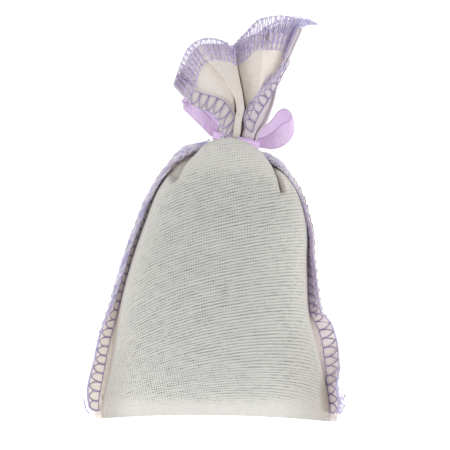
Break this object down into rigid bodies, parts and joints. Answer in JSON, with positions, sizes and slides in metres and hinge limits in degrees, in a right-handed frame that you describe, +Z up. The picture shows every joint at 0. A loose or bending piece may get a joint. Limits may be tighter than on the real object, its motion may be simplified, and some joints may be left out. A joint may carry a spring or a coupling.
{
  "type": "lavender sachet",
  "caption": "Filled cotton scent bag with overlocked outside seams, its gathered collar tied at the neck with a satin ribbon bow.",
  "frame": {"origin": "centre of the bounding box in plan, on the surface the sachet lies on", "axes": "+X to the right as pictured, +Y from the bottom fold to the collar, +Z up, out of the front of the bag"},
  "size_m": [0.0847, 0.1291, 0.0348],
  "materials": {
    "cotton": "matte plain weave",
    "thread": "spun overlock thread",
    "satin_ribbon": "satin with woven edges",
    "lavender": "dried buds"
  },
  "bodies": {
    "sachet": {"bag_body": "cotton", "lavender_filling": "lavender", "collar_front": "cotton", "collar_back": "cotton", "left_seam_needle_thread": "thread", "left_seam_upper_looper": "thread", "left_seam_lower_looper": "thread", "right_seam_needle_thread": "thread", "right_seam_upper_looper": "thread", "right_seam_lower_looper": "thread", "left_collar_seam_needle_thread": "thread", "left_collar_seam_upper_looper": "thread", "left_collar_seam_lower_looper": "thread", "right_collar_seam_needle_thread": "thread", "right_collar_seam_upper_looper": "thread", "right_collar_seam_lower_looper": "thread", "front_hem_needle_thread": "thread", "front_hem_upper_looper": "thread", "front_hem_lower_looper": "thread", "back_hem_needle_thread": "thread", "back_hem_upper_looper": "thread", "back_hem_lower_looper": "thread", "hem_chain_tail": "thread", "left_thread_end": "thread", "right_thread_end": "thread", "ribbon_wrap": "satin_ribbon", "ribbon_knot": "satin_ribbon"},
    "right_loop": {"right_loop": "satin_ribbon"},
    "left_loop": {"left_loop": "satin_ribbon"},
    "right_tail": {"right_tail": "satin_ribbon"},
    "left_tail": {"left_tail": "satin_ribbon"}
  },
  "joints": [
    {"name": "right_loop_flex", "type": "hinge", "parent": "sachet", "child": "right_loop", "pos_m": [0.01069, 0.0236, 0.00485], "axis": [0, -1, 0], "range_deg": [-3, 15], "stiffness_Nm_per_rad": 0.0005},
    {"name": "left_loop_flex", "type": "hinge", "parent": "sachet", "child": "left_loop", "pos_m": [0.00311, 0.0254, 0.00485], "axis": [0, 1, 0], "range_deg": [-3, 15], "stiffness_Nm_per_rad": 0.0005},
    {"name": "right_tail_swing", "type": "hinge", "parent": "sachet", "child": "right_tail", "pos_m": [0.00895, 0.02663, 0.00387], "axis": [0, 0, -1], "range_deg": [0, 45]},
    {"name": "left_tail_swing", "type": "hinge", "parent": "sachet", "child": "left_tail", "pos_m": [0.00603, 0.02733, 0.00387], "axis": [0, 0, 1], "range_deg": [0, 45]}
  ]
}
